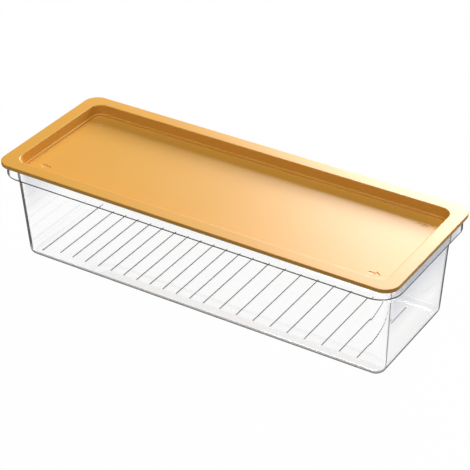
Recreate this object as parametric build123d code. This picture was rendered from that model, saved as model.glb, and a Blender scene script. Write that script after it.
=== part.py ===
from build123d import *
import os

# A long food storage box: a clear container with a ribbed floor, and a lid with a recessed pan.
# Millimetres. X runs along the length, Z is up, and the front is at minus Y.
# The origin is at the middle of the flat underside of the container.

# The lid's flange, which rests on the container's rim
lid_length = 340.0
lid_width = 128.5
lid_corner_radius = 11.8
flange_thickness = 1.4
lid_edge_round = 0.4

# The lip that turns down around the rim, measured from the lid's top
lip_depth = 3.0
lip_thickness = 1.3

# The pan sunk into the lid
flange_width_ends = 11.1
flange_width_sides = 10.6
pan_corner_radius = 9.8
pan_wall_depth = 6.9
pan_wall_slope = 1.6
pan_wall_thickness = 1.2
pan_ledge_width = 1.4
pan_step_depth = 1.7
pan_floor_thickness = 1.4
pan_opening_round = 0.5

# The small arrows sunk into the corners of the pan's floor
arrow_length = 9.0
arrow_head_length = 4.0
arrow_head_width = 5.5
arrow_shaft_width = 1.6
arrow_depth = 0.3
arrow_from_end = 13.5
arrow_from_side = 13.5

# The container's walls, which lean out from the base up to the level where the band ends
lean_ends = 3.5
lean_sides = 6.0
body_corner_radius = 10.9
wall_thickness = 1.5
floor_thickness = 1.9
bottom_round = 6.0
foot_corner_radius = 2.2
inner_bottom_round = 4.2
inner_corner_radius = 7.0

# The rim: the wall turns outward, and a band hangs from its outer edge
rim_height = 85.1
rim_plate_thickness = 2.0
band_height = 10.1
band_inset = 1.1
band_corner_radius = 17.7
band_thickness = 1.2
neck_flare_height = 4.5
neck_flare_ends = 0.75
neck_flare_sides = 0.35

# The ribs on the inner floor, closer together on the left half than on the right
rib_end_gap = 11.4
rib_width = 0.9
rib_height = 0.7
close_rib_pitch = 12.15
wide_rib_pitch = 14.65
rib_row_end_gap = 14.0

# One longer rib that crosses the flat floor at its left end
end_rib_setback = 3.75
end_rib_side_gap = 3.0
end_rib_width = 1.6
end_rib_height = 0.75

# Fits between the lid and the container
plug_clearance = 0.3
lip_clearance = 0.3
lip_end_gap = 0.3


def outline(length, width, radius, height):
    """A rounded rectangle lying level at the given height."""
    return Plane.XY.offset(height) * RectangleRounded(length, width, radius)


def between(lower, upper):
    """The solid with straight sides from one level outline up to another."""
    return loft([lower, upper], ruled=True)


def lowest_edges(solid):
    """The edges around the underside of a solid."""
    return solid.edges().group_by(Axis.Z)[0]


# Levels and outlines that several features share
lid_top = rim_height + flange_thickness
opening_length = lid_length - 2 * flange_width_ends
opening_width = lid_width - 2 * flange_width_sides
slope_at_rim = pan_wall_slope * flange_thickness / pan_wall_depth
plug_grow = pan_wall_thickness - slope_at_rim
plug_length = opening_length + 2 * plug_grow
plug_width = opening_width + 2 * plug_grow
plug_radius = pan_corner_radius + plug_grow
mouth_length = plug_length + 2 * plug_clearance
mouth_width = plug_width + 2 * plug_clearance
mouth_radius = plug_radius + plug_clearance
neck_length = mouth_length + 2 * wall_thickness
neck_width = mouth_width + 2 * wall_thickness
neck_radius = mouth_radius + wall_thickness
body_length = neck_length - 2 * neck_flare_ends
body_width = neck_width - 2 * neck_flare_sides
base_length = body_length - 2 * lean_ends
base_width = body_width - 2 * lean_sides
base_radius = bottom_round + foot_corner_radius

# The container's outside: the drafted walls, the flare of the neck and the straight mouth
band_bottom = rim_height - band_height
neck_top = band_bottom + neck_flare_height
lower_body = between(
    outline(base_length, base_width, base_radius, 0),
    outline(body_length, body_width, body_corner_radius, band_bottom),
)
lower_body = fillet(lowest_edges(lower_body), bottom_round)
neck_outside = between(
    outline(body_length, body_width, body_corner_radius, band_bottom),
    outline(neck_length, neck_width, neck_radius, neck_top),
)
mouth_outside = extrude(
    outline(neck_length, neck_width, neck_radius, neck_top), rim_height - neck_top
)

# The rim and the band, with a shoulder cut back for the lid's lip
band_length = lid_length - 2 * band_inset
band_width = lid_width - 2 * band_inset
under_rim = extrude(
    outline(
        band_length - 2 * band_thickness,
        band_width - 2 * band_thickness,
        band_corner_radius - band_thickness,
        band_bottom,
    ),
    band_height - rim_plate_thickness,
)
land_cut = lip_thickness + lip_clearance - band_inset
shoulder_height = lid_top - lip_depth - lip_end_gap
rim_land = extrude(
    outline(
        band_length - 2 * land_cut,
        band_width - 2 * land_cut,
        band_corner_radius - land_cut,
        shoulder_height,
    ),
    rim_height - shoulder_height,
)
band_block = extrude(
    outline(band_length, band_width, band_corner_radius, band_bottom),
    shoulder_height - band_bottom,
)
rim = band_block + rim_land - under_rim

# The space inside the container
floor_rise = floor_thickness / band_bottom
floor_length = base_length + 2 * lean_ends * floor_rise - 2 * wall_thickness
floor_width = base_width + 2 * lean_sides * floor_rise - 2 * wall_thickness
space_length = body_length - 2 * wall_thickness
space_width = body_width - 2 * wall_thickness
space_radius = body_corner_radius - wall_thickness
lower_space = between(
    outline(floor_length, floor_width, inner_corner_radius, floor_thickness),
    outline(space_length, space_width, space_radius, band_bottom),
)
lower_space = fillet(lowest_edges(lower_space), inner_bottom_round)
neck_space = between(
    outline(space_length, space_width, space_radius, band_bottom),
    outline(mouth_length, mouth_width, mouth_radius, neck_top),
)
mouth_space = extrude(
    outline(mouth_length, mouth_width, mouth_radius, neck_top), rim_height - neck_top
)

container = lower_body + neck_outside + mouth_outside + rim
container = container - lower_space - neck_space - mouth_space

# The ribs, each a thin bar with round ends: one in the middle, and as many on each side as
# the flat floor has room for
rib_length = floor_width - 2 * rib_end_gap
rib_row = floor_length / 2 - inner_bottom_round - rib_row_end_gap
close_ribs = int(rib_row / close_rib_pitch)
wide_ribs = int(rib_row / wide_rib_pitch)
rib_places = [-close_rib_pitch * i for i in range(close_ribs, 0, -1)]
rib_places += [wide_rib_pitch * i for i in range(wide_ribs + 1)]
for x in rib_places:
    bar = Pos(x, 0, floor_thickness / 2) * Rot(0, 0, 90) * SlotOverall(rib_length, rib_width)
    container = container + extrude(bar, floor_thickness / 2 + rib_height)
end_rib_x = inner_bottom_round + end_rib_setback - floor_length / 2
end_rib_length = floor_width - 2 * inner_bottom_round - 2 * end_rib_side_gap
end_rib = Rot(0, 0, 90) * SlotOverall(end_rib_length, end_rib_width)
end_rib = Pos(end_rib_x, 0, floor_thickness / 2) * end_rib
container = container + extrude(end_rib, floor_thickness / 2 + end_rib_height)

# The lid: the flange and the lip around the rim
flange = extrude(
    outline(lid_length, lid_width, lid_corner_radius, lid_top - lip_depth), lip_depth
)
flange = fillet(flange.edges().group_by(Axis.Z)[-1], lid_edge_round)
inside_lip = extrude(
    outline(
        lid_length - 2 * lip_thickness,
        lid_width - 2 * lip_thickness,
        lid_corner_radius - lip_thickness,
        lid_top - lip_depth,
    ),
    lip_depth - flange_thickness,
)
flange = flange - inside_lip

# The outside of the pan, which plugs the mouth
ledge_level = lid_top - pan_wall_depth
pan_level = ledge_level - pan_step_depth
plug_foot = ledge_level - pan_floor_thickness
foot_shrink = pan_wall_slope * (rim_height - plug_foot) / pan_wall_depth
plug = between(
    outline(
        plug_length - 2 * foot_shrink,
        plug_width - 2 * foot_shrink,
        plug_radius - foot_shrink,
        plug_foot,
    ),
    outline(plug_length, plug_width, plug_radius, rim_height),
)
step_shrink = pan_wall_slope + pan_ledge_width
pan_step = extrude(
    outline(
        opening_length - 2 * (step_shrink - pan_wall_thickness),
        opening_width - 2 * (step_shrink - pan_wall_thickness),
        pan_corner_radius - step_shrink + pan_wall_thickness,
        pan_level - pan_floor_thickness,
    ),
    plug_foot - pan_level + pan_floor_thickness,
)

# The recess of the pan
recess = between(
    outline(
        opening_length - 2 * pan_wall_slope,
        opening_width - 2 * pan_wall_slope,
        pan_corner_radius - pan_wall_slope,
        ledge_level,
    ),
    outline(opening_length, opening_width, pan_corner_radius, lid_top),
)
recess_step = extrude(
    outline(
        opening_length - 2 * step_shrink,
        opening_width - 2 * step_shrink,
        pan_corner_radius - step_shrink,
        pan_level,
    ),
    pan_step_depth,
)

lid = flange + plug + pan_step - recess - recess_step
opening_edges = [
    edge
    for edge in lid.edges().group_by(Axis.Z)[-1]
    if abs(edge.center().X) <= opening_length / 2 and abs(edge.center().Y) <= opening_width / 2
]
lid = fillet(opening_edges, pan_opening_round)

# The arrows, one in each corner, pointing out along the length
pan_half_length = opening_length / 2 - step_shrink
pan_half_width = opening_width / 2 - step_shrink
shaft_edge = arrow_shaft_width / 2
head_edge = arrow_head_width / 2
neck_x = arrow_length / 2 - arrow_head_length
arrow = make_face(
    Polyline(
        (-arrow_length / 2, -shaft_edge),
        (neck_x, -shaft_edge),
        (neck_x, -head_edge),
        (arrow_length / 2, 0),
        (neck_x, head_edge),
        (neck_x, shaft_edge),
        (-arrow_length / 2, shaft_edge),
        close=True,
    )
)
arrow_cut = extrude(arrow, arrow_depth)
for end, turn in ((-1, 180), (1, 0)):
    for side in (-1, 1):
        x = end * (pan_half_length - arrow_from_end)
        y = side * (pan_half_width - arrow_from_side)
        lid = lid - Pos(x, y, pan_level - arrow_depth) * Rot(0, 0, turn) * arrow_cut

os.makedirs("parts", exist_ok=True)
for name, shape in (("container", container), ("lid", lid)):
    shape.label = name
    export_step(shape, f"parts/{name}.step")
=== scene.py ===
"""Dresses the food storage box, a clear ribbed container with a recessed orange lid."""
import logging
import math
from dataclasses import dataclass, field
from enum import Enum

import bpy
import numpy as np
from mathutils import Matrix, Vector


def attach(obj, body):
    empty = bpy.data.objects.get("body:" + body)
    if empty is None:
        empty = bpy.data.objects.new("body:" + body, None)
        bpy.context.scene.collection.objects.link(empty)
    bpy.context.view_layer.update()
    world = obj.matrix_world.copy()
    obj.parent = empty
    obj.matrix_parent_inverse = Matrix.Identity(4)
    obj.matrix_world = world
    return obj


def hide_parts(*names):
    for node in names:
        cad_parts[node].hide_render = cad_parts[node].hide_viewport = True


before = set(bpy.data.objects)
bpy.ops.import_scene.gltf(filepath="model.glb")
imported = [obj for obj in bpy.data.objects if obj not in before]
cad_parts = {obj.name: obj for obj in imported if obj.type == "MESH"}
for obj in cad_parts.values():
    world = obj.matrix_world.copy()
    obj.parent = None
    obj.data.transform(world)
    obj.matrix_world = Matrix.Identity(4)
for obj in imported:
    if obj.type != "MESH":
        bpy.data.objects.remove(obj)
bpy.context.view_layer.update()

log = logging.getLogger("food_storage_box")

MILLIMETRE = 0.001

# How many points make a corner's quarter turn, and how many ease a bend of a section
ARC_STEPS = 14
BEND_STEPS = 6

# Places nearer than this are one in a section, and places that match to these digits are welded
SAME_PLACE = 1e-4
WELD_DIGITS = 4

# Edges that turn by more than this stay sharp, and how far large faces outweigh small ones
SHARP_ANGLE = math.radians(38)
LARGE_FACE_WEIGHT = 90

# The Mix node's own numbers for its factor, its two colours and the colour that it gives
MIX_FACTOR = 0
MIX_FIRST = 6
MIX_SECOND = 7
MIX_COLOUR = 2


class Corner(Enum):
    """The four corners of the lid's pan, as signs along the length and across the width."""

    FRONT_LEFT = (-1, -1)
    FRONT_RIGHT = (1, -1)
    BACK_LEFT = (-1, 1)
    BACK_RIGHT = (1, 1)


class Axis(Enum):
    """The axes of the box, by the name of the output that gives the place along each."""

    LENGTH = "X"
    WIDTH = "Y"
    HEIGHT = "Z"


class Ray(Enum):
    """The kinds of ray that carry the floor and the backdrop to the viewer."""

    CAMERA = "Is Camera Ray"
    GLOSSY = "Is Glossy Ray"
    TRANSMISSION = "Is Transmission Ray"


class Operation(Enum):
    """The sums that the shader values below are made with."""

    ADD = "ADD"
    SUBTRACT = "SUBTRACT"
    MULTIPLY = "MULTIPLY"
    ABSOLUTE = "ABSOLUTE"
    MAXIMUM = "MAXIMUM"


class Value:
    """A shader value that can be added, multiplied and so on, each time through a Math node."""

    def __init__(self, shader: "Shader", socket: bpy.types.NodeSocket) -> None:
        """Keeps the socket that carries the value.

        Args:
            shader: The material's node tree, in its wrapper.
            socket: The output that carries the value.
        """
        self.shader = shader
        self.socket = socket

    def _with(self, operation: Operation, first: object, second: object) -> "Value":
        """Makes one Math node.

        Args:
            operation: What the node does.
            first: Its first value, a number or a Value.
            second: Its second value, a number or a Value.

        Returns:
            The node's result.
        """
        return self.shader.node("ShaderNodeMath", {0: first, 1: second}, operation=operation.value)

    def __add__(self, other: object) -> "Value":
        """The sum of the two."""
        return self._with(Operation.ADD, self, other)

    def __radd__(self, other: object) -> "Value":
        """The sum of the two, from the right."""
        return self._with(Operation.ADD, other, self)

    def __sub__(self, other: object) -> "Value":
        """This value less the other."""
        return self._with(Operation.SUBTRACT, self, other)

    def __rsub__(self, other: object) -> "Value":
        """The other value less this one."""
        return self._with(Operation.SUBTRACT, other, self)

    def __mul__(self, other: object) -> "Value":
        """The product of the two."""
        return self._with(Operation.MULTIPLY, self, other)

    def __rmul__(self, other: object) -> "Value":
        """The product of the two, from the right."""
        return self._with(Operation.MULTIPLY, other, self)

    def size(self) -> "Value":
        """This value without its sign."""
        return self._with(Operation.ABSOLUTE, self, 0.0)

    def larger(self, other: object) -> "Value":
        """The larger of the two."""
        return self._with(Operation.MAXIMUM, self, other)

    def rising(self, nought: float, one: float) -> "Value":
        """Nought up to one mark, one from the other on, and a straight run between them.

        Args:
            nought: Where the result is nought.
            one: Where it is one. If it is the lower mark, the result falls as this value grows.

        Returns:
            The share between nought and one.
        """
        marks = {"Value": self, "From Min": nought, "From Max": one}
        return self.shader.node("ShaderNodeMapRange", marks)


class Shader:
    """A material's or the world's node tree, with one method that adds any node to it."""

    def __init__(self, tree: bpy.types.NodeTree) -> None:
        """Empties the tree.

        Args:
            tree: The node tree to fill.
        """
        self.tree = tree
        self.tree.nodes.clear()

    def node(
        self, kind: str, inputs: dict | None = None, output: object = 0, **settings: object
    ) -> Value:
        """Adds a node and joins or sets its inputs.

        Args:
            kind: The node's type, in Blender's own name.
            inputs: What goes into each input, by name or number: a Value, or a plain setting.
            output: The output to return, by name or number.
            **settings: The node's own properties.

        Returns:
            The chosen output.
        """
        made = self.tree.nodes.new(kind)
        for name, setting in settings.items():
            setattr(made, name, setting)
        for name, given in (inputs or {}).items():
            if isinstance(given, Value):
                self.tree.links.new(given.socket, made.inputs[name])
            else:
                made.inputs[name].default_value = given
        return Value(self, made.outputs[output] if made.outputs else None)

    def place(self) -> Value:
        """The place on the piece, in metres from the object's origin."""
        return self.node("ShaderNodeTexCoord", output="Object")

    def along(self, axis: Axis) -> Value:
        """The place along one axis, in metres from the object's origin."""
        return self.node("ShaderNodeSeparateXYZ", {"Vector": self.place()}, output=axis.value)

    def noise(self, size: float, detail: float, stretch: tuple = (1, 1, 1)) -> Value:
        """A cloudy pattern between nought and one.

        Args:
            size: The width of its patches, in metres.
            detail: How much finer grain it carries.
            stretch: How much it is stretched along each axis.

        Returns:
            The pattern's value.
        """
        scale = tuple(1 / (size * s) for s in stretch)
        spread = self.node("ShaderNodeMapping", {"Vector": self.place(), "Scale": scale})
        return self.node("ShaderNodeTexNoise", {"Vector": spread, "Scale": 1.0, "Detail": detail})

    def blend_colours(self, amount: Value, first: tuple, second: tuple) -> Value:
        """A colour that goes from the first to the second as the amount goes from nought to one.

        Args:
            amount: How far along.
            first: The colour at nought, red, green and blue.
            second: The colour at one.

        Returns:
            The colour.
        """
        inputs = {MIX_FACTOR: amount, MIX_FIRST: (*first, 1), MIX_SECOND: (*second, 1)}
        return self.node("ShaderNodeMix", inputs, MIX_COLOUR, data_type="RGBA", clamp_factor=True)

    def bump(self, height: Value, strength: float, distance: float) -> Value:
        """A normal roughened by a pattern of heights.

        Args:
            height: The pattern.
            strength: How much of it shows.
            distance: The height of its peaks, in metres.

        Returns:
            The normal.
        """
        inputs = {"Strength": strength, "Distance": distance, "Height": height}
        return self.node("ShaderNodeBump", inputs)

    def shown_to(self, share: dict) -> Value:
        """A share for each kind of ray, and nought for the kinds that aren't named.

        Args:
            share: The share that each kind of ray gets.

        Returns:
            The largest share among the kinds that the ray is of.
        """
        total = None
        for ray, part in share.items():
            one = self.node("ShaderNodeLightPath", output=ray.value) * part
            total = one if total is None else total.larger(one)
        return total


@dataclass(frozen=True)
class ClearPlastic:
    """The container's clear rigid plastic: polished, with the faint flow marks of a moulding.

    Where the plastic turns much of the light back, at its edges and bends, black is painted in as
    shade, so those show as dark lines, lighter at the very foot of the box; a dark line is painted the
    same way along the foot of the band. The tall end walls have painted grey shade, greyer towards
    their tops. Sizes are in metres.

    Attributes:
        tint: The colour that it gives to the light that passes it.
        refraction: Its index of refraction.
        roughness: Its roughness where the flow marks are strongest.
        flow_size: The width of the flow marks.
        flow_detail: How much finer grain they carry.
        flow_stretch: How much they are stretched along each axis.
        flow_strength: How much of them shows as relief.
        flow_depth: The height of that relief.
        painted_dark_from: The share of light turned back from which black is painted in as shade.
        painted_dark_to: The share of light turned back from which the painted black is whole.
        painted_dark_colour: The black painted in as shade at the edges and bends.
        painted_dark_roughness: The roughness there.
        foot_painted_dark: How much of the painted black there is at the very foot of the box.
        foot_height: The height from which the painted black is whole.
        painted_end_grey: The painted grey shade at the top of the end walls.
        end_from: How far from the middle the grey ends begin, along the length.
        end_to: How far from the middle the grey is whole, along the length.
        grey_low: The height at which the grey begins.
        grey_high: The height from which it is whole.
        grey_half_width: How far from the middle the grey ends, across the width.
        full_grey_half_width: How far from the middle it is whole, across the width.
        band_foot: The height of the foot of the band around the mouth.
        band_line: The height of the dark line painted as shade along the foot's edge.
        band_line_whole: The share of that height up to which the line is at its darkest.
        band_line_margin: How far below the foot the line is cut off.
        band_line_painted_dark: How much black is painted in the line.
        core_half_length: Half the length of the outline that the band's corners turn around.
        core_half_width: Half the width of that outline.
        band_from: How far past that outline the line begins.
        band_to: How far past that outline the line is whole.
    """

    tint: tuple = (1.0, 1.0, 1.0)
    refraction: float = 1.55
    roughness: float = 0.015
    flow_size: float = 0.03
    flow_detail: float = 2.0
    flow_stretch: tuple = (3, 1, 1)
    flow_strength: float = 0.02
    flow_depth: float = 0.001
    painted_dark_from: float = 0.2
    painted_dark_to: float = 0.46
    painted_dark_colour: tuple = (0, 0, 0)
    painted_dark_roughness: float = 0.6
    foot_painted_dark: float = 0.2
    foot_height: float = 0.012
    painted_end_grey: tuple = (0.62, 0.63, 0.68)
    end_from: float = 0.15
    end_to: float = 0.155
    grey_low: float = 0.03
    grey_high: float = 0.068
    grey_half_width: float = 0.05
    full_grey_half_width: float = 0.038
    band_foot: float = 0.075
    band_line: float = 0.0009
    band_line_whole: float = 0.8
    band_line_margin: float = 0.0001
    band_line_painted_dark: float = 0.75
    core_half_length: float = 0.153
    core_half_width: float = 0.0469
    band_from: float = 0.0122
    band_to: float = 0.0128

    def painted_grey_share(self, shader: Shader) -> Value:
        """How much painted grey shade the plastic has, most at the top of the end walls, and not at all
        at the corners.

        Args:
            shader: The material's node tree.

        Returns:
            The share of the grey, between nought and one.
        """
        along = shader.along(Axis.LENGTH)
        across = shader.along(Axis.WIDTH)
        at_end = (along * along).rising(self.end_from**2, self.end_to**2)
        off_corner = (across * across).rising(self.grey_half_width**2, self.full_grey_half_width**2)
        return at_end * off_corner * shader.along(Axis.HEIGHT).rising(self.grey_low, self.grey_high)

    def foot_of_band(self, shader: Shader) -> Value:
        """Where the foot of the band lies, along which a dark line is painted as shade.

        The square of the distance past the core outline is the square of the distance past its half
        length plus the square of the distance past its half width, each nought where it isn't passed.

        Args:
            shader: The material's node tree.

        Returns:
            One at the band's foot, and nought elsewhere.
        """
        height = shader.along(Axis.HEIGHT)
        past_end = (shader.along(Axis.LENGTH).size() - self.core_half_length).larger(0.0)
        past_side = (shader.along(Axis.WIDTH).size() - self.core_half_width).larger(0.0)
        outward = past_end * past_end + past_side * past_side
        line_top = self.band_foot + self.band_line
        line_whole = self.band_foot + self.band_line * self.band_line_whole
        cut_off = self.band_foot - self.band_line_margin
        below_top = height.rising(line_top, line_whole)
        above_cut = height.rising(cut_off - self.band_line_margin, cut_off)
        return outward.rising(self.band_from**2, self.band_to**2) * below_top * above_cut

    def painted_dark_share(self, shader: Shader) -> Value:
        """How much black is painted in as shade: most at edges and bends and along the band's foot, and
        less at the foot of the box.

        Args:
            shader: The material's node tree.

        Returns:
            The share of the painted black.
        """
        turned_back = shader.node("ShaderNodeFresnel", {"IOR": self.refraction})
        above_foot = shader.along(Axis.HEIGHT).rising(0.0, self.foot_height)
        kept_dark = above_foot * (1 - self.foot_painted_dark) + self.foot_painted_dark
        share = turned_back.rising(self.painted_dark_from, self.painted_dark_to) * kept_dark
        return share.larger(self.foot_of_band(shader) * self.band_line_painted_dark)

    def make(self) -> bpy.types.Material:
        """Makes the material.

        Returns:
            The clear plastic with its slow flow marks, and its painted shade: grey ends and dark edges.
        """
        material = bpy.data.materials.new("clear_plastic")
        material.use_nodes = True
        shader = Shader(material.node_tree)
        flow = shader.noise(self.flow_size, self.flow_detail, self.flow_stretch)
        clear = shader.node(
            "ShaderNodeBsdfPrincipled",
            {
                # Painted shade: the end walls are tinted grey towards their tops
                "Base Color": shader.blend_colours(self.painted_grey_share(shader), self.tint, self.painted_end_grey),
                "Roughness": flow * self.roughness,
                "IOR": self.refraction,
                "Transmission Weight": 1.0,
                "Normal": shader.bump(flow, self.flow_strength, self.flow_depth),
            },
        )
        # Painted shade: a black surface mixed in at the edges, the bends and the band's foot
        lost = shader.node(
            "ShaderNodeBsdfPrincipled",
            {
                "Base Color": (*self.painted_dark_colour, 1),
                "Roughness": self.painted_dark_roughness,
                "Specular IOR Level": 0.0,
            },
        )
        both = shader.node("ShaderNodeMixShader", {0: self.painted_dark_share(shader), 1: clear, 2: lost})
        shader.node("ShaderNodeOutputMaterial", {"Surface": both})
        return material


@dataclass(frozen=True)
class OrangePlastic:
    """The lid's opaque golden-orange plastic: satin, with a fine moulded texture.

    Sizes are in metres.

    Attributes:
        colour: The deeper colour of its clouds.
        paler: Their paler colour.
        roughness: Its middle roughness.
        refraction: Its index of refraction.
        cloud_size: The width of the clouds.
        cloud_detail: How much finer grain the clouds carry.
        cloud_dulling: How much the roughness varies with the clouds.
        grain_size: The width of the grain.
        grain_detail: How much finer grain the grain carries.
        grain_dulling: How much the roughness varies with the grain.
        grain_strength: How much of the grain shows as relief.
        grain_depth: The height of that relief.
    """

    colour: tuple = (0.8, 0.395, 0.05)
    paler: tuple = (0.83, 0.415, 0.06)
    roughness: float = 0.41
    refraction: float = 1.49
    cloud_size: float = 0.05
    cloud_detail: float = 3.0
    cloud_dulling: float = 0.06
    grain_size: float = 0.0006
    grain_detail: float = 2.0
    grain_dulling: float = 0.05
    grain_strength: float = 0.12
    grain_depth: float = 0.00004

    def make(self) -> bpy.types.Material:
        """Makes the material.

        Returns:
            The orange plastic with its clouds, its fine grain and a roughness that follows both.
        """
        material = bpy.data.materials.new("orange_plastic")
        material.use_nodes = True
        shader = Shader(material.node_tree)
        clouds = shader.noise(self.cloud_size, self.cloud_detail)
        grain = shader.noise(self.grain_size, self.grain_detail)
        dulling = (clouds - 0.5) * self.cloud_dulling + (grain - 0.5) * self.grain_dulling
        body = shader.node(
            "ShaderNodeBsdfPrincipled",
            {
                "Base Color": shader.blend_colours(clouds, self.colour, self.paler),
                "Roughness": self.roughness + dulling,
                "IOR": self.refraction,
                "Normal": shader.bump(grain, self.grain_strength, self.grain_depth),
            },
        )
        shader.node("ShaderNodeOutputMaterial", {"Surface": body})
        return material


@dataclass(frozen=True)
class PaleFloor:
    """The studio's pale floor: nearly white to the camera, with a faint shadow left in it.

    Attributes:
        colour: The colour of the matt floor that the lamps light.
        roughness: The roughness of that floor.
        whiteness: How much white the camera sees, straight or through the clear plastic.
        mirrored: How much white is mirrored in the box.
    """

    colour: tuple = (0.42, 0.42, 0.42)
    roughness: float = 0.9
    whiteness: float = 0.99
    mirrored: float = 0.5

    def make(self) -> bpy.types.Material:
        """Makes the material.

        Returns:
            A plain matt floor mixed with a white that only the viewing rays see.
        """
        material = bpy.data.materials.new("pale_floor")
        material.use_nodes = True
        shader = Shader(material.node_tree)
        matt = shader.node(
            "ShaderNodeBsdfPrincipled",
            {"Base Color": (*self.colour, 1), "Roughness": self.roughness},
        )
        white = shader.node("ShaderNodeEmission", {"Color": (1, 1, 1, 1), "Strength": 1.0})
        seen = shader.shown_to(
            {Ray.CAMERA: self.whiteness, Ray.GLOSSY: self.mirrored, Ray.TRANSMISSION: self.whiteness}
        )
        mixed = shader.node("ShaderNodeMixShader", {0: seen, 1: matt, 2: white})
        shader.node("ShaderNodeOutputMaterial", {"Surface": mixed})
        return material


@dataclass(frozen=True)
class Level:
    """One level outline of a moulding's section, a rounded rectangle, in millimetres.

    Attributes:
        half_length: Half its size along the length.
        half_width: Half its size across the width.
        radius: The radius of its corners.
        height: Its height above the base.
        round_off: The radius that eases the section's bend at this level.
    """

    half_length: float
    half_width: float
    radius: float
    height: float
    round_off: float = 0.0

    def grown(self, by: float) -> "Level":
        """The same outline, larger all round by a distance, or smaller where it is negative."""
        half_length, half_width, radius = self.half_length + by, self.half_width + by, self.radius + by
        return Level(half_length, half_width, radius, self.height, self.round_off)

    def at(self, height: float, round_off: float = 0.0) -> "Level":
        """The same outline at another height, with its own easing."""
        return Level(self.half_length, self.half_width, self.radius, height, round_off)

    def moved_out(self, ends: float, sides: float, radius: float, height: float) -> "Level":
        """A level with other corners and height, its ends and sides further out by two distances."""
        return Level(self.half_length + ends, self.half_width + sides, radius, height)


def eased_section(levels: list) -> np.ndarray:
    """Rounds the bends of a section.

    A section is a line through rows of half length, half width, corner radius and height. Each bend
    is replaced by an arc that touches the two runs beside it. The arc is the rational quadratic curve
    through the touching points, with the bend as its middle point, weighted by the sine of half the
    angle between the runs, which makes it a part of a circle. Lengths and angles are taken in the
    plane of the half length and the height.

    Args:
        levels: The section's levels, in order.

    Returns:
        The rows of the eased section, without doubles.
    """
    rows = np.array([[s.half_length, s.half_width, s.radius, s.height] for s in levels])
    easing = np.array([s.round_off for s in levels])[1:-1]
    bend = rows[1:-1]
    before = rows[:-2] - bend
    after = rows[2:] - bend
    flat = np.array([1, 0, 0, 1])
    run_before = np.linalg.norm(before * flat, axis=1)
    run_after = np.linalg.norm(after * flat, axis=1)
    cosine = np.sum(before * after * flat, axis=1) / (run_before * run_after)
    half_angle = np.arccos(np.clip(cosine, -1, 1)) / 2
    reach = easing / np.tan(half_angle)
    start = bend + before * (reach / run_before)[:, None]
    end = bend + after * (reach / run_after)[:, None]
    t = np.linspace(0, 1, BEND_STEPS)[None, :, None]
    weight = np.sin(half_angle)[:, None, None]
    at_start = (1 - t) ** 2
    at_bend = 2 * t * (1 - t) * weight
    at_end = t**2
    summed = at_start * start[:, None] + at_bend * bend[:, None] + at_end * end[:, None]
    curve = summed / (at_start + at_bend + at_end)
    made = np.concatenate([rows[:1], curve.reshape(-1, 4), rows[-1:]])
    keep = np.ones(len(made), bool)
    keep[1:] = np.linalg.norm(np.diff(made, axis=0), axis=1) > SAME_PLACE
    return made[keep]


def ring_pattern(columns: np.ndarray, rows: np.ndarray) -> np.ndarray:
    """Describes the points of a ring round a box with rounded corners, going left seen from above.

    Each point is given by six numbers: the signs of its corner along the length and across the width,
    the cosine and sine of its direction from the corner's centre, and a steady place along each. A
    point on a straight side has no corner along that side, but a steady place instead.

    Args:
        columns: Where the long sides have points, along the length, rising.
        rows: Where the short sides have points, across the width, rising.

    Returns:
        One row of six numbers for each point.
    """
    sides = (
        (columns[::-1], (0, 1, 0, 1), 4),
        (rows[::-1], (-1, 0, -1, 0), 5),
        (columns, (0, -1, 0, -1), 4),
        (rows, (1, 0, 1, 0), 5),
    )
    parts = []
    for quarter, (places, fixed, moving) in enumerate(sides):
        angle = np.linspace(0, math.pi / 2, ARC_STEPS) + quarter * math.pi / 2
        corner = np.zeros((ARC_STEPS, 6))
        corner[:, 0] = np.sign(np.cos(angle[ARC_STEPS // 2]))
        corner[:, 1] = np.sign(np.sin(angle[ARC_STEPS // 2]))
        corner[:, 2] = np.cos(angle)
        corner[:, 3] = np.sin(angle)
        side = np.zeros((len(places), 6))
        side[:, :4] = fixed
        side[:, moving] = places
        parts += [corner, side]
    return np.concatenate(parts)


def carried_round(section: np.ndarray, pattern: np.ndarray) -> np.ndarray:
    """Carries a section round a box with rounded corners.

    The place at section point u and ring point v is the corner's sign times the half size less the
    radius, plus the radius times the direction, plus the steady place.

    Args:
        section: Rows of half length, half width, corner radius and height.
        pattern: The ring's points, as ring_pattern gives them.

    Returns:
        A grid of places in millimetres, one row for each section point.
    """
    length, width, radius, height = (section[:, k : k + 1] for k in range(4))
    sign_x, sign_y, cosine, sine, steady_x, steady_y = pattern.T
    x = sign_x * (length - radius) + radius * cosine + steady_x
    y = sign_y * (width - radius) + radius * sine + steady_y
    return np.stack([x, y, height + 0 * x], axis=-1)


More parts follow.
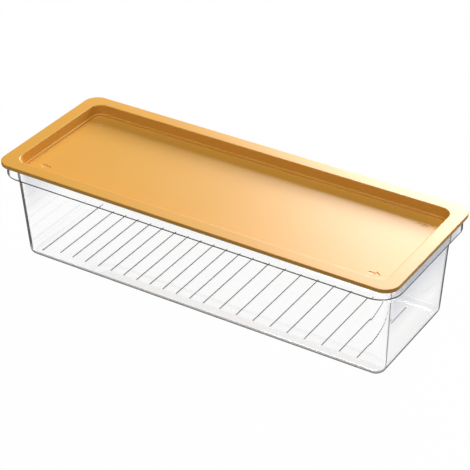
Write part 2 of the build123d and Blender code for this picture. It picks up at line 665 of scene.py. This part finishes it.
class Patchwork:
    """Grids of places that are welded edge to edge into one closed mesh."""

    def __init__(self) -> None:
        """Starts with no patch."""
        self.places: list = []
        self.faces: list = []
        self.count = 0

    def add(self, grid: np.ndarray, closed: bool = False) -> None:
        """Adds a grid of places as four-sided faces.

        A face goes from a place to the next in its row and then to the next row, so the side that
        shows is the one from which that turn is to the left.

        Args:
            grid: The places in millimetres, as rows by columns by three.
            closed: Whether the last column joins the first.
        """
        high, wide = grid.shape[:2]
        index = np.arange(high * wide).reshape(high, wide) + self.count
        if closed:
            index = np.concatenate([index, index[:, :1]], axis=1)
        quads = np.stack([index[:-1, :-1], index[:-1, 1:], index[1:, 1:], index[1:, :-1]], axis=-1)
        self.places.append(grid.reshape(-1, 3))
        self.faces.append(quads.reshape(-1, 4))
        self.count += high * wide

    def piece(self, name: str, material: bpy.types.Material) -> bpy.types.Object:
        """Welds the patches and makes the object.

        Places that match to WELD_DIGITS digits of a millimetre become one. A face that loses one corner
        in the weld turns into a triangle, and one that loses more is dropped.

        Args:
            name: The object's name.
            material: Its finish.

        Returns:
            The object, smooth but for its sharp edges, with the normals of its large faces kept flat.
        """
        places = np.concatenate(self.places)
        rounded = np.round(places, WELD_DIGITS)
        _, first, joined = np.unique(rounded, axis=0, return_index=True, return_inverse=True)
        quads = joined.reshape(-1)[np.concatenate(self.faces)]
        same = quads == np.roll(quads, -1, axis=1)
        lost = same.sum(axis=1)
        whole = quads[lost == 0]
        pinched = quads[lost == 1]
        keep = ~same[lost == 1]
        faces = whole.tolist() + pinched[keep].reshape(-1, 3).tolist()
        mesh = bpy.data.meshes.new(name)
        mesh.from_pydata((places[first] * MILLIMETRE).tolist(), [], faces)
        mesh.polygons.foreach_set("use_smooth", np.ones(len(mesh.polygons), bool))
        mesh.set_sharp_from_angle(angle=SHARP_ANGLE)
        mesh.materials.append(material)
        mesh.update()
        made = bpy.data.objects.new(name, mesh)
        bpy.context.scene.collection.objects.link(made)
        flat = made.modifiers.new("flat_faces", "WEIGHTED_NORMAL")
        flat.mode = "FACE_AREA"
        flat.weight = LARGE_FACE_WEIGHT
        flat.keep_sharp = True
        return made


def filled_in(columns: np.ndarray, rows: np.ndarray, height: np.ndarray) -> np.ndarray:
    """A level grid of places with its own heights, which shows its upper side.

    Args:
        columns: The places along the length, rising.
        rows: The places across the width, rising.
        height: The height at each row and column.

    Returns:
        The places, as rows by columns by three.
    """
    x, y = np.meshgrid(columns, rows)
    return np.stack([x, y, height + 0 * x], axis=-1)


@dataclass
class Fit:
    """The sizes that the lid and the container share, in millimetres."""

    # The lid's outline, and the width of its flange at the ends and at the sides
    half_length: float = 170.0
    half_width: float = 64.25
    corner_radius: float = 11.8
    flange_ends: float = 11.1
    flange_sides: float = 10.6

    # The thickness of the flange, and how far the lip reaches down from the lid's top
    flange: float = 1.4
    lip_depth: float = 3.0

    # The corners of the pan's opening, the thickness of its wall, how far that leans in, and how
    # deep it goes, from the lid's top to the ledge
    pan_radius: float = 9.8
    pan_wall: float = 1.2
    pan_slope: float = 1.6
    pan_wall_depth: float = 6.9

    # The height of the container's rim, and the gap between the pan and the container's mouth
    rim_height: float = 85.1
    plug_clearance: float = 0.3

    def lid_top(self) -> float:
        """The height of the lid's top."""
        return self.rim_height + self.flange

    def edge(self) -> Level:
        """The lid's outline, at its top."""
        return Level(self.half_length, self.half_width, self.corner_radius, self.lid_top())

    def opening(self) -> Level:
        """The opening of the lid's pan, at the lid's top."""
        inward = -self.flange_ends, -self.flange_sides
        return self.edge().moved_out(*inward, self.pan_radius, self.lid_top())

    def plug(self) -> Level:
        """The outside of the pan where it passes the rim's top."""
        at_rim = self.pan_slope * self.flange / self.pan_wall_depth
        return self.opening().grown(self.pan_wall - at_rim).at(self.rim_height)

    def mouth(self) -> Level:
        """The container's mouth, clear of the plug all round."""
        return self.plug().grown(self.plug_clearance)


@dataclass
class Container:
    """The clear container: base, walls, ribbed floor, and the band that hangs from its rim.

    Sizes are in millimetres. A comment covers the fields from there to the next empty line.
    """

    fit: Fit

    # The thickness of the walls and the floor, and how far the walls lean out up to the band's foot
    wall: float = 1.5
    floor: float = 1.9
    lean_ends: float = 3.5
    lean_sides: float = 6.0

    # The corners: at the band's foot, of the flat underside, and of the inner floor
    body_radius: float = 10.9
    foot_radius: float = 2.2
    inner_corner: float = 7.0

    # The roundings at the foot of the walls, outside and inside
    bottom_round: float = 6.0
    inner_round: float = 4.2

    # The thickness of the rim, then the band's height, its thickness, its corners, and how far it
    # lies inside the lid's outline
    plate: float = 2.0
    band_height: float = 10.1
    band: float = 1.2
    band_radius: float = 17.7
    band_inset: float = 1.1

    # How far the rim is cut back for the lid's lip, and the gap left under the lip
    land_cut: float = 0.5
    lip_gap: float = 0.3

    # The flare above the band's foot: its height, and how far it widens at the ends and sides
    flare_height: float = 4.5
    flare_ends: float = 0.75
    flare_sides: float = 0.35

    # The radii that ease the section's other bends
    wall_bend: float = 2.0
    plate_bend: float = 0.5
    band_edge: float = 0.3
    shoulder_edge: float = 0.12
    land_edge: float = 0.3
    mouth_edge: float = 0.4

    # The ribs, and the longer rib near the left end, with its place along the length
    rib_half_length: float = 37.2
    rib_half_width: float = 0.45
    rib_height: float = 0.7
    end_rib_place: float = -147.96
    end_rib_half_length: float = 41.4
    end_rib_half_width: float = 0.8
    end_rib_height: float = 0.75

    # The pitch and the count of the ribs on each side of the middle one, close together on the left
    close_pitch: float = 12.15
    close_ribs: int = 11
    wide_pitch: float = 14.65
    wide_ribs: int = 9

    # How many points cross a rib, and how far past its straight part the points at its round ends
    # lie, as shares of its half width
    rib_points: int = 11
    rib_end_points: tuple = (0, 0.45, 0.75, 0.9, 1)

    # How far the rim stays clear of the lid, so that the two faces don't coincide
    resting_gap: float = 0.02

    # Half the size of the level grid in the floor
    grid_half_length: float = 148.85
    grid_half_width: float = 41.5

    finish: ClearPlastic = field(default_factory=ClearPlastic)

    def section(self) -> list:
        """The section of the skin, from the underside out, up, over the rim and down inside.

        Returns:
            The section's levels, in order.
        """
        fit = self.fit
        base_height = fit.rim_height - self.band_height
        neck_top = base_height + self.flare_height
        rim_top = fit.rim_height - self.resting_gap
        under_plate = fit.rim_height - self.plate
        shoulder = fit.lid_top() - fit.lip_depth - self.lip_gap
        mouth = fit.mouth()
        neck = mouth.grown(self.wall)
        body = neck.moved_out(-self.flare_ends, -self.flare_sides, self.body_radius, base_height)
        base_radius = self.bottom_round + self.foot_radius
        base = body.moved_out(-self.lean_ends, -self.lean_sides, base_radius, 0)
        rise = self.floor / base_height
        at_floor = self.lean_ends * rise - self.wall, self.lean_sides * rise - self.wall
        inside = base.moved_out(*at_floor, self.inner_corner, self.floor)
        band = fit.edge().moved_out(-self.band_inset, -self.band_inset, self.band_radius, base_height)
        land = band.grown(-self.land_cut)
        return [
            Level(self.grid_half_length, self.grid_half_width, 0, 0),
            base.grown(-self.bottom_round),
            base.at(0, self.bottom_round),
            body.at(base_height, self.wall_bend),
            neck.at(neck_top, self.wall_bend),
            neck.at(under_plate, self.plate_bend),
            band.grown(-self.band).at(under_plate, self.plate_bend),
            band.grown(-self.band).at(base_height, self.band_edge),
            band.at(base_height, self.band_edge),
            band.at(shoulder, self.shoulder_edge),
            land.at(shoulder, self.shoulder_edge),
            land.at(rim_top, self.land_edge),
            mouth.at(rim_top, self.mouth_edge),
            mouth.at(neck_top, self.wall_bend),
            body.grown(-self.wall).at(base_height, self.wall_bend),
            inside.at(self.floor, self.inner_round),
            inside.grown(-self.inner_round).at(self.floor),
            Level(self.grid_half_length, self.grid_half_width, 0, self.floor),
        ]

    def ribs(self) -> np.ndarray:
        """Where the ribs lie along the length: close together on the left, wider on the right.

        Returns:
            The places of their middle lines, rising.
        """
        left = -self.close_pitch * np.arange(self.close_ribs, 0, -1)
        right = self.wide_pitch * np.arange(self.wide_ribs + 1)
        return np.concatenate([left, right])

    def bars(self) -> tuple:
        """The floor's two kinds of bar: the ribs, and the longer one at the left end.

        Returns:
            The places, half length, half width and height of each kind.
        """
        end_rib = np.array([self.end_rib_place])
        return (
            (self.ribs(), self.rib_half_length, self.rib_half_width, self.rib_height),
            (end_rib, self.end_rib_half_length, self.end_rib_half_width, self.end_rib_height),
        )

    def floor_height(self, columns: np.ndarray, rows: np.ndarray) -> np.ndarray:
        """The height of the ribbed floor.

        A bar's height at a distance from its middle line, as a share of its half width, is one less
        the share squared. Past the straight part of the line the distance is taken from the line's
        end, so the ends are round.

        Args:
            columns: The places along the length.
            rows: The places across the width.

        Returns:
            The height at each row and column.
        """
        height = np.zeros((len(rows), len(columns)))
        for places, half_length, half_width, rise in self.bars():
            aside = np.min(np.abs(columns[:, None] - places[None, :]), axis=1)
            beyond = np.maximum(np.abs(rows) - (half_length - half_width), 0)
            share = np.hypot(aside[None, :], beyond[:, None]) / half_width
            height = np.maximum(height, rise * (1 - np.minimum(share, 1) ** 2))
        return self.floor + height

    def build(self) -> bpy.types.Object:
        """Makes the container as one closed skin.

        Returns:
            The container's object.
        """
        across = np.linspace(-1, 1, self.rib_points)
        inward = 1 - np.array(self.rib_end_points)
        columns = [-self.grid_half_length, self.grid_half_length]
        rows = [-self.grid_half_width, 0, self.grid_half_width]
        for places, half_length, half_width, _ in self.bars():
            columns += (places[:, None] + half_width * across).reshape(-1).tolist()
            end = half_length - half_width * inward
            rows += end.tolist() + (-end).tolist()
        columns = np.unique(np.round(columns, WELD_DIGITS))
        rows = np.unique(np.round(rows, WELD_DIGITS))
        section = eased_section(self.section())
        skin = Patchwork()
        skin.add(carried_round(section, ring_pattern(columns, rows)), closed=True)
        skin.add(filled_in(columns, rows, self.floor_height(columns, rows)))
        skin.add(filled_in(columns, rows, np.zeros((len(rows), len(columns))))[::-1])
        made = skin.piece("clear_container", self.finish.make())
        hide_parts("container")
        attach(made, "container")
        log.info("container: %d faces", len(made.data.polygons))
        return made


@dataclass
class ArrowMark:
    """A small plain arrow sunk into the pan's floor, in millimetres.

    Attributes:
        length: Its length from end to point.
        head_length: The length of its head.
        head_width: The width of its head.
        shaft_width: The width of its shaft.
        depth: How deep it is sunk.
        softness: The width over which its edge fades.
    """

    length: float = 9.0
    head_length: float = 4.0
    head_width: float = 5.5
    shaft_width: float = 1.6
    depth: float = 0.3
    softness: float = 0.22

    def sunk(self, x: np.ndarray, y: np.ndarray) -> np.ndarray:
        """How deep the arrow's mark is at places given from its middle.

        The distance outside the shaft is the larger of the distances past its end and past its side.
        Outside the head it is the larger of the distances behind it and past its slanting sides. The
        smaller of the two, spread over the softness, fades the depth from full to none.

        Args:
            x: The places along the arrow.
            y: The places across it.

        Returns:
            The depth, nought outside the mark.
        """
        half_length = self.length / 2
        half_head = self.head_width / 2
        neck = half_length - self.head_length
        past_end = np.abs(x - (neck - half_length) / 2) - (neck + half_length) / 2
        shaft = np.maximum(past_end, np.abs(y) - self.shaft_width / 2)
        slant = math.hypot(self.head_length, half_head)
        past_side = (np.abs(y) * self.head_length + (x - half_length) * half_head) / slant
        head = np.maximum(neck - x, past_side)
        covered = np.clip(0.5 - np.minimum(shaft, head) / self.softness, 0, 1)
        return self.depth * covered * covered * (3 - 2 * covered)


@dataclass
class Lid:
    """The orange lid: flange, turned-down lip, and the sunk pan with its ledge and step.

    Sizes are in millimetres. A comment covers the fields from there to the next empty line.
    """

    fit: Fit

    # The thickness of the lip
    lip: float = 1.3

    # The pan below its wall: the ledge's width, the step down from it, and the floor's thickness
    ledge: float = 1.4
    step: float = 1.7
    pan_floor: float = 1.4

    # The radii that ease the section's bends
    edge_round: float = 0.45
    opening_round: float = 0.8
    step_round: float = 0.75
    lip_edge: float = 0.3
    lip_bend: float = 0.3
    plug_bend: float = 0.3
    plug_edge: float = 0.4
    pan_bend: float = 0.4
    under_step_bend: float = 0.3
    under_step_edge: float = 0.5

    # How far the arrows' middles lie from the ends and from the sides of the pan's floor
    mark_from_end: float = 13.5
    mark_from_side: float = 13.5

    # The level grid in the pan's floor: half its size, how far the lines beside its middle one lie
    # from it, the pitch of the fine lines at the arrows, and half the stretch that these fill
    grid_half_length: float = 149.0
    grid_half_width: float = 42.5
    plain_half_size: float = 20.0
    mark_cell: float = 0.2
    mark_half_length: float = 4.9
    mark_half_width: float = 3.2

    mark: ArrowMark = field(default_factory=ArrowMark)
    finish: OrangePlastic = field(default_factory=OrangePlastic)

    def section(self) -> list:
        """The section of the skin, from under the pan out, round the lip and into the pan.

        Returns:
            The section's levels, in order.
        """
        fit = self.fit
        opening = fit.opening()
        top = fit.lid_top()
        ledge_level = top - fit.pan_wall_depth
        pan_level = ledge_level - self.step
        under_pan = pan_level - self.pan_floor
        plug_foot = ledge_level - self.pan_floor
        foot_shrink = fit.pan_slope * (fit.rim_height - plug_foot) / fit.pan_wall_depth
        edge = fit.edge()
        lip_foot = top - fit.lip_depth
        wall_foot = opening.grown(-fit.pan_slope)
        step_line = wall_foot.grown(-self.ledge)
        under_step = step_line.grown(fit.pan_wall)
        return [
            Level(self.grid_half_length, self.grid_half_width, 0, under_pan),
            under_step.at(under_pan, self.under_step_edge),
            under_step.at(plug_foot, self.under_step_bend),
            fit.plug().grown(-foot_shrink).at(plug_foot, self.plug_edge),
            fit.plug().at(fit.rim_height, self.plug_bend),
            edge.grown(-self.lip).at(fit.rim_height, self.lip_bend),
            edge.grown(-self.lip).at(lip_foot, self.lip_edge),
            edge.at(lip_foot, self.lip_edge),
            edge.at(top, self.edge_round),
            opening.at(top, self.opening_round),
            wall_foot.at(ledge_level, self.pan_bend),
            step_line.at(ledge_level, self.step_round),
            step_line.at(pan_level, self.step_round),
            Level(self.grid_half_length, self.grid_half_width, 0, pan_level),
        ]

    def mark_place(self) -> tuple:
        """How far the arrows' middles lie from the lid's middle.

        Returns:
            The distances along the length and across the width.
        """
        inner = self.fit.opening().grown(-self.fit.pan_slope - self.ledge)
        return inner.half_length - self.mark_from_end, inner.half_width - self.mark_from_side

    def marks(self, x: np.ndarray, y: np.ndarray) -> np.ndarray:
        """How deep the four arrows are sunk at places on the pan's floor, each pointing to its end.

        Args:
            x: The places along the length.
            y: The places across the width.

        Returns:
            The depth, nought outside the arrows.
        """
        along, across = self.mark_place()
        depth = np.zeros(np.broadcast(x, y).shape)
        for corner in Corner:
            end, flank = corner.value
            depth = np.maximum(depth, self.mark.sunk(end * x - along, y - flank * across))
        return depth

    def cells(self, middle: float, half: float, edge: float) -> np.ndarray:
        """Grid lines from one edge to the other, fine where the marks lie.

        Args:
            middle: The distance of a mark's middle from the lid's middle.
            half: Half the fine stretch around it.
            edge: The distance of the last line.

        Returns:
            The lines' places, rising.
        """
        count = int(round(2 * half / self.mark_cell)) + 1
        fine = np.linspace(middle - half, middle + half, count)
        plain = [-self.plain_half_size, 0, self.plain_half_size]
        return np.concatenate([[-edge], -fine[::-1], plain, fine, [edge]])

    def build(self) -> bpy.types.Object:
        """Makes the lid as one closed skin.

        Returns:
            The lid's object.
        """
        along, across = self.mark_place()
        columns = self.cells(along, self.mark_half_length, self.grid_half_length)
        rows = self.cells(across, self.mark_half_width, self.grid_half_width)
        levels = self.section()
        skin = Patchwork()
        skin.add(carried_round(eased_section(levels), ring_pattern(columns, rows)), closed=True)
        sunk = self.marks(columns[None, :], rows[:, None])
        skin.add(filled_in(columns, rows, levels[-1].height - sunk))
        skin.add(filled_in(columns, rows, levels[0].height + 0 * sunk)[::-1])
        made = skin.piece("orange_lid", self.finish.make())
        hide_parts("lid")
        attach(made, "lid")
        log.info("lid: %d faces", len(made.data.polygons))
        return made


@dataclass
class Lamp:
    """A soft rectangular lamp that looks at a point of the object, in metres and watts."""

    name: str
    place: tuple
    aim: tuple
    width: float
    height: float
    watts: float

    def build(self) -> None:
        """Hangs the lamp and turns it to its aim."""
        light = bpy.data.lights.new(self.name, "AREA")
        light.shape = "RECTANGLE"
        light.size = self.width
        light.size_y = self.height
        light.energy = self.watts
        made = bpy.data.objects.new(self.name, light)
        made.location = self.place
        view = Vector(self.aim) - Vector(self.place)
        made.rotation_euler = view.to_track_quat("-Z", "Y").to_euler()
        bpy.context.scene.collection.objects.link(made)


@dataclass
class Studio:
    """The plain pale floor, the backdrop, the soft lamps and the camera.

    Sizes are in metres and angles in degrees.
    """

    # The camera: where it stands, how far round to the right of the front, how far it looks down,
    # how far it is turned about its view, then its lens and film in millimetres
    eye: tuple = (0.59690, -0.94605, 0.75272)
    azimuth: float = 32.0263
    elevation: float = 32.4244
    roll: float = -0.3233
    lens: float = 134.07
    film_width: float = 36.0

    # Half the size of the floor, and its height, just under the box
    floor_half_size: float = 6.0
    floor_height: float = -0.0003

    # The brightness of the surround, as it lights the box and as the box mirrors it
    soft_light: float = 0.08
    mirrored: float = 0.1

    lamps: tuple = (
        Lamp("key_lamp", (-0.36, 1.46, 0.65), (0.05, 0, 0.08), 0.6, 0.56, 28.0),
        Lamp("back_lamp", (0.2, 2.32, 0.63), (0.05, 0, 0.08), 2.1, 0.58, 38.0),
        Lamp("top_lamp", (0.05, 0.05, 2.2), (0, 0, 0.08), 1.2, 1.2, 19.0),
        Lamp("front_lamp", (-0.3, -2.2, 1.0), (0, 0, 0.08), 1.5, 1.0, 6.3),
    )
    finish: PaleFloor = field(default_factory=PaleFloor)

    def lay_floor(self) -> None:
        """Lays one large level sheet just under the box."""
        half = self.floor_half_size
        corners = [(-half, -half), (half, -half), (half, half), (-half, half)]
        mesh = bpy.data.meshes.new("studio_floor")
        mesh.from_pydata([(x, y, self.floor_height) for x, y in corners], [], [(0, 1, 2, 3)])
        mesh.materials.append(self.finish.make())
        made = bpy.data.objects.new("studio_floor", mesh)
        bpy.context.scene.collection.objects.link(made)

    def surround_with_light(self) -> None:
        """Sets a dim even surround, plain white to the camera, also through the clear plastic."""
        world = bpy.data.worlds.new("surround")
        world.use_nodes = True
        shader = Shader(world.node_tree)
        seen = shader.shown_to({Ray.CAMERA: 1.0, Ray.GLOSSY: self.mirrored, Ray.TRANSMISSION: 1.0})
        colour = seen.larger(self.soft_light)
        light = shader.node("ShaderNodeBackground", {"Color": colour, "Strength": 1.0})
        shader.node("ShaderNodeOutputWorld", {"Surface": light})
        bpy.context.scene.world = world

    def set_camera(self) -> None:
        """Puts the camera where the photograph was taken from, turned a little about its view."""
        turn, rise, lean = (math.radians(a) for a in (self.azimuth, self.elevation, self.roll))
        level = math.cos(rise)
        back = Vector((math.sin(turn) * level, -math.cos(turn) * level, math.sin(rise)))
        right = Vector((math.cos(turn), math.sin(turn), 0))
        above = back.cross(right)
        leant_right = math.cos(lean) * right + math.sin(lean) * above
        leant_above = -math.sin(lean) * right + math.cos(lean) * above
        camera = bpy.data.cameras.new("camera")
        camera.lens = self.lens
        camera.sensor_width = self.film_width
        made = bpy.data.objects.new("camera", camera)
        axes = [[leant_right[k], leant_above[k], back[k], self.eye[k]] for k in range(3)]
        made.matrix_world = Matrix(axes + [[0, 0, 0, 1]])
        bpy.context.scene.collection.objects.link(made)
        bpy.context.scene.camera = made

    def build(self) -> None:
        """Sets up the whole studio."""
        self.lay_floor()
        self.surround_with_light()
        for lamp in self.lamps:
            lamp.build()
        self.set_camera()
        bpy.context.scene.view_settings.view_transform = "Standard"
        log.info("studio: %d lamps", len(self.lamps))


def main() -> None:
    """Builds the container, the lid and the studio, in that order."""
    logging.basicConfig(level=logging.INFO, format="%(name)s: %(message)s")
    fit = Fit()
    Container(fit).build()
    Lid(fit).build()
    Studio().build()


if __name__ == "__main__":
    main()
